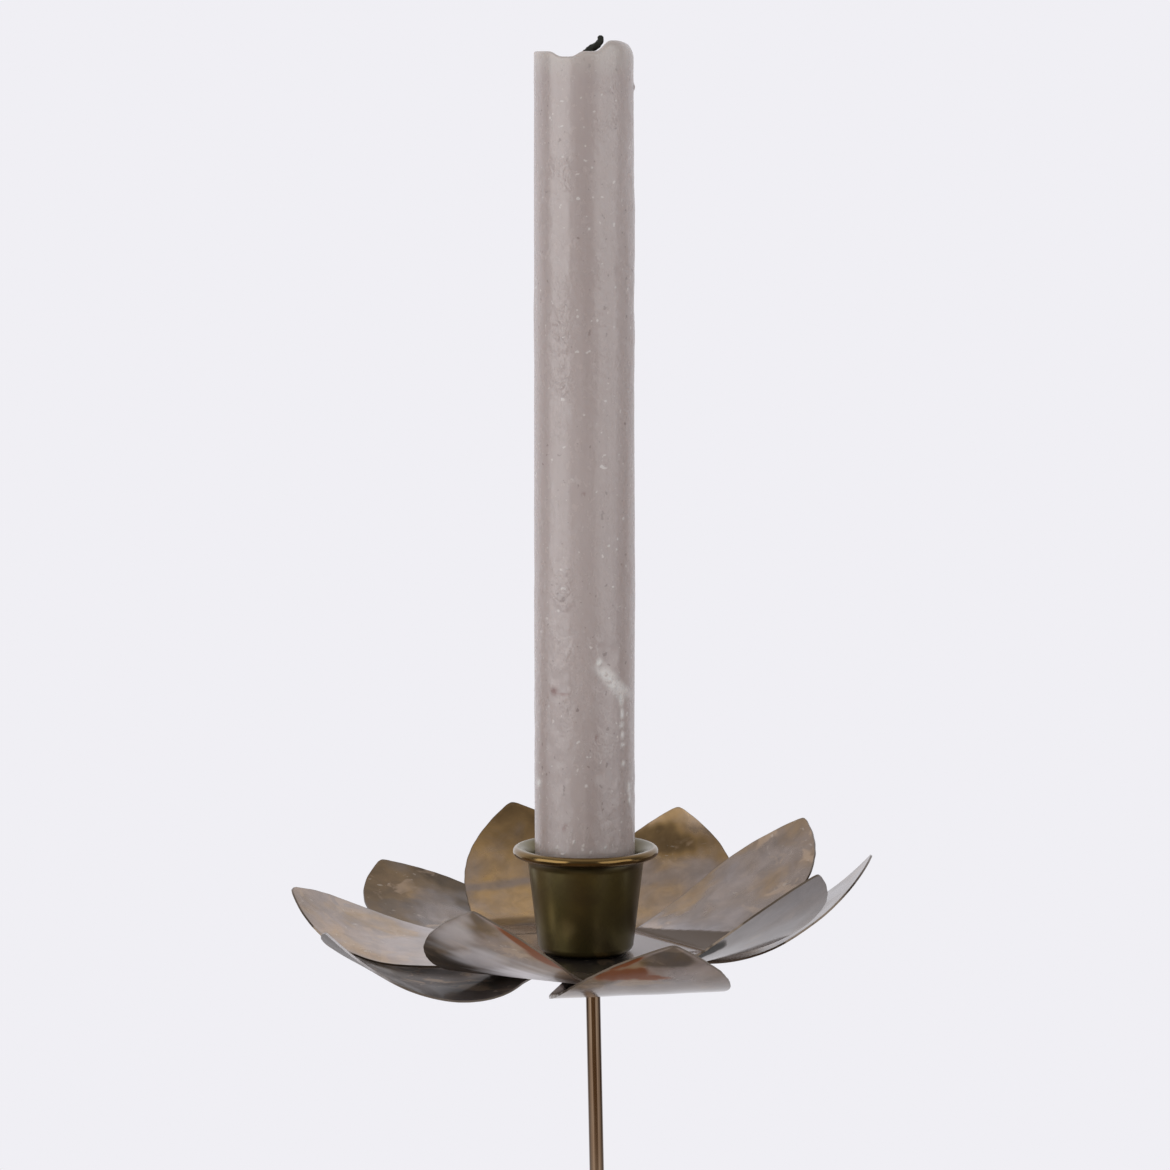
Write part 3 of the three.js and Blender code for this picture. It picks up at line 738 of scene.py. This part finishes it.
def makeCandle(finish):
    # rows of a turned surface from the foot to the wick's bore, its radius and height varying round the axis
    angle = roundAngles(candle["sides"])[None]
    radius, topRadius, top, rows = (candle[key] for key in ("radius", "topRadius", "top", "rows"))
    rightness = (0.5 + 0.5 * np.cos(angle)) ** 2
    edges = zip(candle["leastEdge"], candle["mostEdge"])
    edgeWidth, edgeHeight = (least + (most - least) * rightness for least, most in edges)
    footRadius = cupInside(candle["foot"]) - candle["seatGap"]
    rise = np.linspace(0, 1, rows["foot"])[:, None]
    under = (footRadius * rise ** 0.7, candle["foot"] + 0 * rise)
    pared = (footRadius + (radius - footRadius) * rise,
             candle["foot"] + (candle["paredTop"] - candle["foot"]) * rise)
    climb = np.linspace(0, 1, rows["side"])[1:, None]
    side = (radius + (topRadius - radius) * climb,
            candle["paredTop"] + (top - edgeHeight - candle["paredTop"]) * climb)
    turn = np.linspace(0, np.pi / 2, rows["edge"])[1:, None]
    crownRadius = topRadius - edgeWidth
    shoulder = (crownRadius + edgeWidth * np.cos(turn), top - edgeHeight + edgeHeight * np.sin(turn))
    inwards = np.linspace(0, 1, rows["crown"])[1:, None]
    crown = (crownRadius + (candle["wickBore"] - crownRadius) * inwards, top + 0 * inwards)
    sink = np.linspace(0, 1, rows["bore"])[1:, None]
    bore = (candle["wickBore"] + 0 * sink, top - candle["wickDepth"] * sink)
    base = (0, top - candle["wickDepth"])
    rowParts = zip(under, pared, side, shoulder, crown, bore, base)
    r, z = (np.concatenate([part + 0 * angle for part in parts]) for parts in rowParts)
    turns = angle / (2 * np.pi) + 0 * z
    swell = latticeNoise(turns, z, 9, 40, 31) * candle["swell"]
    lumps = latticeNoise(turns, z, 22, 6.5, 32) + 0.6 * latticeNoise(turns, z, 46, 2.6, 33)
    worn = smoothStep(0.5 + latticeNoise(turns, z, 5, 28, 34))  # some stretches are lumpier than others
    creased = smoothStep(2.2 * np.abs(latticeNoise(turns, z, 14, 5, 36)) - 0.3)
    lumps = lumps + 0.5 * creased * latticeNoise(turns, z, 78, 1.3, 35)
    onSide = smoothStep((z - candle["paredTop"]) / candle["lumpsFrom"]) * (r > radius - candle["crownInset"])
    nub = candle["nub"]
    away = (radius * angle) ** 2 + (z - nub["height"]) ** 2
    drip = nub["rise"] * np.exp(-away / nub["reach"] ** 2)
    r = r + onSide * (swell + candle["lumps"] * worn * lumps + drip)
    x, y = r * np.cos(angle), r * np.sin(angle)
    nearTop = np.exp(-np.maximum(top - z, 0) / candle["burntReach"]) * (z > candle["paredTop"])
    z = z + burntLift(x, y) * nearTop
    marks = {"melt": smoothStep(1 - (top - z) / candle["meltReach"]), **candleMarks(x, y, z, worn)}
    points = onFlower(np.stack([x + leanShift(z), y, z], -1))
    makePiece("waxCandle", [{"points": points, "wrap": True, "marks": marks}], finish,
              "candle", "candle_wax", crease=60)


waxMarks = {  # on the front of the candle: place to the right and above the flower, half width, half height
    # one pale spot, 10.1 to the left and 38.6 up, is a painted glint; the rest are pale marks in the wax
    "pale": [(8.0, 57.0, 0.4, 1.0), (8.15, 54.2, 0.3, 1.1), (8.05, 51.8, 0.4, 0.6), (8.2, 49.6, 0.25, 0.7),
             (8.25, 47.4, 0.35, 0.4), (8.4, 43.2, 0.25, 0.5), (-10.1, 38.6, 0.5, 0.9), (9.6, 37.6, 0.3, 1.0),
             (9.75, 35, 0.25, 0.9), (3.1, 66.0, 0.6, 0.7), (-6.1, 24.9, 0.2, 0.25), (-4.9, 23.6, 0.25, 0.2),
             (-2.4, 26.4, 0.2, 0.25), (1.2, 24.2, 0.25, 0.2), (4.4, 25, 0.2, 0.25)],
    "dark": [(-4.6, 29.3, 0.35, 0.7), (-4.1, 29.9, 0.3, 0.4), (-0.2, 102.7, 0.35, 0.4),
             (2.5, 49.4, 0.25, 0.6), (-4.7, 58.9, 1.3, 0.35)],
    "scuff": {"x": 6.1, "z": 61.4, "slope": -0.74, "halfWidth": 1.9, "halfHeight": 3.6},
    "stain": (-6.65, 59.4, 0.75, 0.9),
    "rough": [(-4, 78, 3, 10), (5, 182, 3, 11), (-5, 171, 2.5, 7), (4.5, 148, 2, 14), (-5, 135, 2, 16)],
    "front": (1, 4),  # start and run of the marked side
    "paleWeight": 1.5,
    "wear": (0.05, 0.3),  # everywhere, and more where the wax is lumpy
}


def candleMarks(x, y, z, worn):
    # each mark fades from its middle; the scuff is a slanting patch, and the rough patches have no edge
    start, run = waxMarks["front"]
    front = smoothStep((-y - start) / run)
    spot = lambda u, v, wide, tall: np.exp(-((x - u) / wide) ** 2 - ((z - v) / tall) ** 2)
    patch = waxMarks["scuff"]
    slant = (x - patch["x"] - patch["slope"] * (z - patch["z"])) / patch["halfWidth"]
    scuff = np.exp(-slant ** 4 - ((z - patch["z"]) / patch["halfHeight"]) ** 4)
    pale, dark, rough = (sum(spot(*mark) for mark in waxMarks[kind]) for kind in ("pale", "dark", "rough"))
    least, more = waxMarks["wear"]
    # the pale spots, one of them a painted glint, join the scuff mark
    return {"scuff": (scuff + waxMarks["paleWeight"] * pale) * front, "scratch": dark * front,
            "stain": spot(*waxMarks["stain"]) * front,
            "wear": np.clip(least + more * worn + rough * front, 0, 1)}


waxColours = {
    "body": (0.405, 0.342, 0.328),
    "pale": (0.50, 0.44, 0.425),
    "deep": (0.32, 0.26, 0.245),
    "melt": (0.50, 0.46, 0.43),
    "scuff": (0.66, 0.63, 0.61),
    "pitShade": (0.21, 0.165, 0.155),
    "stain": (0.20, 0.105, 0.095),
}


def greyWax():
    # dipped wax: long upright streaks in the colour, paler where it has melted, and wrinkles where it is
    # worn; small pale dots are painted glints and small dark dots painted shade in pits
    material, shader = startMaterial("greyWax")
    place = objectPlace()
    streak = noise(objectPlace((160, 160, 9)), 1, 4, 0.55, 0.3)
    colour = blendColour(spread(streak, 0.3, 0.7), waxColours["deep"], waxColours["pale"])
    colour = blendColour(0.45, waxColours["body"], colour)
    speck = noise(objectPlace((1, 1, 0.7)), 620, 2, 0.6)
    glintAndPitSpots = noise(objectPlace(location=(2, 5, 1)), 760, 1, 0.5)
    flake = noise(place, 900, 3, 0.7)
    scuffed = times(readMark("scuff"), spread(flake, 0.3, 0.52, 0.3, 1), clamp=True)
    colour = layerColours(colour, waxColours, [
        (spread(speck, 0.66, 0.78, 0, 0.45), "pale"),
        # painted highlights: pale glint dots in the scuff colour
        (spread(glintAndPitSpots, 0.715, 0.745, 0, 0.6), "scuff"),
        # painted shade: dark dots for shaded pits
        (spread(glintAndPitSpots, 0.28, 0.25, 0, 0.6), "pitShade"),
        (times(readMark("melt"), 0.6), "melt"),
        (scuffed, "scuff"),
        (readMark("stain"), "stain"),
        (times(readMark("scratch"), 0.75), "stain")])
    rough = spread(speck, 0.3, 0.7, 0.2, 0.3)
    patchy = times(readMark("wear"), spread(noise(place, 150, 2), 0.42, 0.58))
    wrinkles = times(noise(objectPlace((1, 1, 0.7)), 850, 2, 0.5, 1.2), patchy)
    pits = bump(noise(objectPlace((1, 1, 0.6)), 280, 4, 0.55, 0.6), 0.085)
    normal = bump(scuffed, 0.12, bump(wrinkles, 0.3, pits))
    setInputs(shader, {"Base Color": colour, "Roughness": rough, "Normal": normal, "IOR": 1.6,
                       "Subsurface Weight": 0.25, "Subsurface Radius": (0.004, 0.003, 0.0025),
                       "Subsurface Scale": 1.0})
    return material


makeCandle(greyWax())


# Wick: a charred twist that leans over to the right

wick = {
    "radius": 0.8,
    "endRadius": 0.64,
    "route": [(0, -5.8), (0, -2.3), (0.3, -0.7), (1.6, 0.2),  # to the right, and above the wax
              (3.0, 1.1), (3.7, 1.8), (3.5, 2.6), (3.3, 3.1)],
    "lump": 0.1,
    "fineLump": 0.05,
    "twist": 2.6,
    "steps": 70,
    "sides": 20,
}


def makeWick(finish):
    # a round section carried along an even run through the route's points, with twisted lumps
    route = np.array(wick["route"], float)
    knots = np.concatenate([[0], np.cumsum(np.linalg.norm(np.diff(route, axis=0), axis=1))])
    t = np.linspace(0, knots[-1], wick["steps"])
    line = np.stack([np.interp(t, knots, route[:, 0]), np.interp(t, knots, route[:, 1])], -1)
    for _ in range(5):  # eases the corners of the run
        line[1:-1] = (line[:-2] + 2 * line[1:-1] + line[2:]) / 4
    heading = np.gradient(line, axis=0)
    heading /= np.linalg.norm(heading, axis=1, keepdims=True)
    angle = roundAngles(wick["sides"])
    thick = wick["radius"] + (wick["endRadius"] - wick["radius"]) * smoothStep(t / t[-1] * 3 - 2)
    left = np.clip((t[-1] - t) / wick["endRadius"], 0, 1)
    closing = np.sqrt(left * (2 - left))  # a round end
    lumps = wick["lump"] * np.sin(3 * angle + t[:, None] * wick["twist"])
    lumps = 1 + lumps + wick["fineLump"] * np.sin(7 * t[:, None] + angle)
    size = (thick * closing)[:, None] * lumps
    size[0] = 0
    outwards = size * np.cos(angle)
    x = line[:, :1] + heading[:, 1:] * outwards + candle["lean"][1]
    z = candle["top"] + line[:, 1:] - heading[:, :1] * outwards
    points = np.stack([x, size * np.sin(angle), z], -1)
    makePiece("charredWick", [{"points": onFlower(points), "wrap": True}], finish,
              "candle", "candle_wick")


def fibreFinish(name, upright, grain, dark, light, rough, depth):
    # loose fibres: one noise gives the colour and the relief
    material, shader = startMaterial(name)
    fibre = noise(objectPlace((1, 1, upright)), *grain)
    colour = blendColour(fibre, dark, light)
    setInputs(shader, {"Base Color": colour, "Roughness": rough, "Normal": bump(fibre, depth)})
    return material


makeWick(fibreFinish("charredCotton", 0.4, (2200, 3, 0.6), (0.006, 0.007, 0.005), (0.04, 0.042, 0.033),
                     0.9, 0.15))


# Stem, boss and foot: turned brass

stem = {"radius": 1.6, "start": -5.2, "socket": 3.2, "ease": 0.2, "sides": 64}
collar = {"radius": 4.5, "height": 5, "ease": 1.5, "lowEase": 0.25, "boreGap": 0.3}
boss = {"radius": 4.5, "top": -1.95, "height": 6.6, "ease": 1, "topEase": 0.2, "sides": 64}
foot = {"radius": 50, "thickness": 5.5, "ease": 1.6, "underEase": 0.5, "bore": 2.0, "recess": 5.5,
        "recessDepth": 3.7, "sides": 160}
pad = {"radius": 47, "thickness": 1.5, "ease": 0.35, "sides": 128}


standFinish = {
    "rod": {"light": (0.38, 0.27, 0.175), "brown": (0.33, 0.215, 0.13), "dark": (0.2, 0.12, 0.068),
            "rough": (0.03, 0.06), "metal": 0.97},
    "foot": {"light": (0.42, 0.25, 0.13), "brown": (0.33, 0.175, 0.085), "dark": (0.16, 0.085, 0.042),
             "rough": (0.2, 0.32), "metal": 0.9},
}


def standBrass(name, kind, aside, upright):
    # brown lacquered patina; aside and upright scale its streaks, along the rod or round the foot; the rod's
    # left and right sides get painted shade
    material, shader = startMaterial(name)
    finish = standFinish[kind]
    streak = noise(objectPlace((aside, aside, upright)), 1, 4, 0.6, 0.2)
    cloud = noise(objectPlace(), 60, 4, 0.55, 0.5)
    colour = blendColour(spread(cloud, 0.3, 0.7), finish["brown"], finish["light"])
    colour = blendColour(spread(streak, 0.42, 0.66, 0, 0.8), colour, finish["dark"])
    darker = spread(readMark("paintedSideShade"), 0.36, 0.8, 1, 0.42)  # painted shade on the rod's left and right sides; only the rod has this mark
    colour = shadeColour(colour, darker)
    rough = spread(streak, 0.3, 0.7, *finish["rough"])
    setInputs(shader, {"Base Color": colour, "Metallic": finish["metal"], "Roughness": rough,
                       "Normal": bump(streak, 0.01), **lacquer})
    return material


def makeStand():
    # each piece is an eased profile turned about the leaning stem, the flower's axis or the foot's
    rodFinish = standBrass("rodBrass", "rod", 900, 14)
    turnedFinish = standBrass("footBrass", "foot", 30, 900)
    bossLow = boss["top"] - boss["height"]
    stemEnd = ((flowerZ - footTopZ) / mm + bossLow + stem["socket"] - fitGap) / math.cos(stemLean)
    rod = barProfile(stem["radius"], stem["start"], stemEnd, stem["ease"], stem["ease"])
    paintedSideShade = np.abs(np.cos(roundAngles(stem["sides"])))  # painted shade mark: 1 on the left and right
    marks = {"paintedSideShade": paintedSideShade + np.zeros((len(rod), 1))}
    rodPoints = onStem(turnedPoints(rod, stem["sides"]))
    makePiece("stemRod", [{"points": rodPoints, "wrap": True, "marks": marks}], rodFinish,
              "holder", "stem_rod")
    bore = stem["radius"] + collar["boreGap"]
    collarTop = fitGap + collar["height"]
    ring = easedProfile([(bore, fitGap, 0), (collar["radius"], fitGap, collar["lowEase"]),
                         (collar["radius"], collarTop, collar["ease"]), (bore, collarTop, 0),
                         (bore, fitGap, 0)])
    ringPoints = onStem(turnedPoints(ring, stem["sides"]))
    makePiece("footCollar", [{"points": ringPoints, "wrap": True}], turnedFinish,
              "holder", "foot_collar")
    bar = barProfile(boss["radius"], bossLow, boss["top"], boss["ease"], boss["topEase"])
    bossPoints = onFlower(turnedPoints(bar, boss["sides"]))
    makePiece("stemBoss", [{"points": bossPoints, "wrap": True}], turnedFinish,
              "holder", "stem_boss")
    top = footTopZ / mm
    low, deep = top - foot["thickness"], top - foot["thickness"] + foot["recessDepth"]
    disc = easedProfile([(foot["recess"], low, 0), (foot["radius"], low, foot["underEase"]),
                         (foot["radius"], top, foot["ease"]), (foot["bore"], top, 0), (foot["bore"], deep, 0),
                         (foot["recess"], deep, 0), (foot["recess"], low, 0)], 8)
    makePiece("footDisc", [{"points": turnedPoints(disc, foot["sides"]) * mm, "wrap": True}], turnedFinish,
              "holder", "foot_disc")
    felt = barProfile(pad["radius"], 0, pad["thickness"], pad["ease"], pad["ease"])
    feltFinish = fibreFinish("darkFelt", 1, (1400, 4, 0.7, 0.8), (0.025, 0.024, 0.022), (0.075, 0.072, 0.066),
                             0.95, 0.3)
    makePiece("feltPad", [{"points": turnedPoints(felt, pad["sides"]) * mm, "wrap": True}], feltFinish,
              "holder", "foot_pad")


makeStand()


def plainSteel():
    # zinc-grey fasteners with a turned grain
    material, shader = startMaterial("plainSteel")
    grain = noise(objectPlace((300, 300, 2400)), 1, 3, 0.6)
    colour = blendColour(grain, (0.42, 0.42, 0.41), (0.62, 0.62, 0.61))
    rough = spread(grain, 0.3, 0.7, 0.3, 0.45)
    setInputs(shader, {"Base Color": colour, "Metallic": 1.0, "Roughness": rough})
    return material


steel = plainSteel()
for fastener in ("foot_nut", "foot_washer", "cup_washer", "cup_screw"):
    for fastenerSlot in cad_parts[fastener].material_slots:
        fastenerSlot.material = steel
print("pieces and finishes made")


# Stage: pale floor and backdrop, two tall softboxes and the photograph's camera

stage = {
    "backdrop": (0.871, 0.863, 0.905),
    "room": (0.17, 0.165, 0.16),  # the dim side behind the camera
    "roomFloor": (0.17, 0.115, 0.07),  # and a brown floor, in front and beside, seen in mirrors only
    "ceiling": (0.80, 0.79, 0.80),
    "floorColour": (0.80, 0.79, 0.80),
    "floorRadius": 4.0,
    "floorRings": 40,
    "floorSpokes": 96,
    "shadowRadius": 0.2,  # the floor is plain out to here, and fades into the backdrop by fadeRadius
    "fadeRadius": 0.58,
    "worldSides": (1.16, 0.82),  # brightness of the mirrored studio, from left to right
    "floorSides": (1.06, 0.84),
    "frontSector": (0.55, 0.85),  # the brown floor: its spread to the side for its run ahead, and its start
    "frontStart": (0.35, 0.7),
    "sideSectors": ((-0.05, 0.1), (0.4, 0.6)),  # how far back it turns at the sides, and its start there
    "sideStart": (0.6, 0.8),
}
softboxes = {
    "azimuth": {"left": 58, "right": 50},  # degrees from the camera
    "distance": 1.5,
    "height": 0.62,
    "width": 1.6,
    "tall": 1.2,
    "tilt": 80,  # degrees from facing the floor
    "power": {"left": 12.6, "right": 9.2},
}
view = {
    "imageSide": 1170,  # pixels
    "flowerPixel": (585.7, 952),  # where the flower's flat centre lies in the photograph
    "focalPixels": 5206,
    "elevation": 11.4,  # of the camera, seen from the flower
    "distance": 1.15,
    "sensor": 36,
}


def makeWorld():
    # pale backdrop behind and at the sides, a dimmer ceiling, and the dim room behind the camera
    world = bpy.data.worlds.new("studio")
    bpy.context.scene.world = world
    nodes = startTree(world)
    direction = addNode("SeparateXYZ", {0: addNode("TexCoord").outputs["Generated"]}).outputs
    behind = spread(direction[1], 0.05, 0.5)
    studio = blendColour(behind, stage["room"], stage["backdrop"])
    overhead = spread(direction[2], 0.56, 1.0)
    studio = blendColour(overhead, studio, stage["ceiling"])
    studio = shadeColour(studio, spread(direction[0], -1, 1, *stage["worldSides"]))
    cameraRay = addNode("LightPath").outputs["Is Camera Ray"]
    colour = blendColour(cameraRay, studio, stage["backdrop"])
    setInputs(nodes["Background"], {"Color": colour})


def makeFloor():
    # a disc, rings by spokes: plain under the object, fading into the backdrop's own colour further out
    rings, spokes = stage["floorRings"], stage["floorSpokes"]
    share = np.linspace(0, 1, rings)[:, None]
    profile = np.concatenate([stage["floorRadius"] * share ** 2, 0 * share], -1)[::-1]
    mesh = bpy.data.meshes.new("floor")
    points = turnedPoints(profile, spokes)
    mesh.from_pydata(points.reshape(-1, 3).tolist(), [], gridFaces(rings, spokes, True).tolist())
    floor = addObject("floor", mesh)
    material, shader = startMaterial("paleFloor")
    place = addNode("TexCoord").outputs["Object"]
    away = addNode("VectorMath", {0: place}, operation="LENGTH").outputs["Value"]
    far = spread(away, stage["shadowRadius"], stage["fadeRadius"])
    path = addNode("LightPath").outputs
    seeing = compute("MAXIMUM", path["Is Camera Ray"], path["Is Glossy Ray"])
    fade = times(far, compute("MAXIMUM", seeing, path["Is Transmission Ray"]))
    setInputs(shader, {"Base Color": stage["floorColour"], "Roughness": 0.9, "Specular IOR Level": 0.1})
    x, y, _ = addNode("SeparateXYZ", {0: place}).outputs
    ahead = times(y, -1)
    aside = compute("DIVIDE", compute("ABSOLUTE", x), compute("MAXIMUM", ahead, 0.01))
    front = times(spread(aside, *stage["frontSector"], 1, 0), spread(ahead, *stage["frontStart"]))
    toBack = compute("DIVIDE", y, away)
    first, last = stage["sideSectors"]
    beside = times(spread(toBack, *first), spread(toBack, *last, 1, 0))
    beside = times(beside, spread(away, *stage["sideStart"]))
    dim = compute("MAXIMUM", front, beside)
    studio = blendColour(dim, stage["backdrop"], stage["roomFloor"])
    studio = shadeColour(studio, spread(x, -0.6, 0.6, *stage["floorSides"]))
    seen = blendColour(path["Is Glossy Ray"], stage["backdrop"], studio)
    glow = addNode("Emission", {"Color": seen, "Strength": 1.0})
    mixed = addNode("MixShader", {0: fade, 1: shader.outputs[0], 2: glow.outputs[0]})
    setInputs(material.node_tree.nodes["Material Output"], {"Surface": mixed.outputs[0]})
    mesh.materials.append(material)


def makeSoftbox(name, side, sign):
    lamp = bpy.data.lights.new(name, "AREA")
    lamp.shape = "RECTANGLE"
    lamp.size, lamp.size_y = softboxes["width"], softboxes["tall"]
    lamp.energy = softboxes["power"][side]
    box = addObject(name, lamp)
    turn = math.radians(softboxes["azimuth"][side]) * sign
    reach = softboxes["distance"]
    box.location = (flowerX + reach * math.sin(turn), -reach * math.cos(turn), softboxes["height"])
    box.rotation_euler = (math.radians(softboxes["tilt"]), 0, turn)
    box.visible_camera = False


def makeCamera():
    # the flower's centre lands on its pixel at the given elevation and distance
    lens = bpy.data.cameras.new("photoCamera")
    lens.sensor_width = view["sensor"]
    lens.lens = view["focalPixels"] / view["imageSide"] * view["sensor"]
    middle = view["imageSide"] / 2
    elevation = math.radians(view["elevation"])
    pitch = elevation - math.atan((view["flowerPixel"][1] - middle) / view["focalPixels"])
    aside = (view["flowerPixel"][0] - middle) / view["focalPixels"] * view["distance"]
    camera = addObject("photoCamera", lens)
    camera.location = (flowerX - aside, -view["distance"] * math.cos(elevation),
                       flowerZ + view["distance"] * math.sin(elevation))
    camera.rotation_euler = (math.pi / 2 - pitch, 0, 0)
    bpy.context.scene.camera = camera


makeWorld()
makeFloor()
makeSoftbox("leftSoftbox", "left", -1)
makeSoftbox("rightSoftbox", "right", 1)
makeCamera()
bpy.context.scene.view_settings.view_transform = "Standard"
print("stage, lamps and camera set")
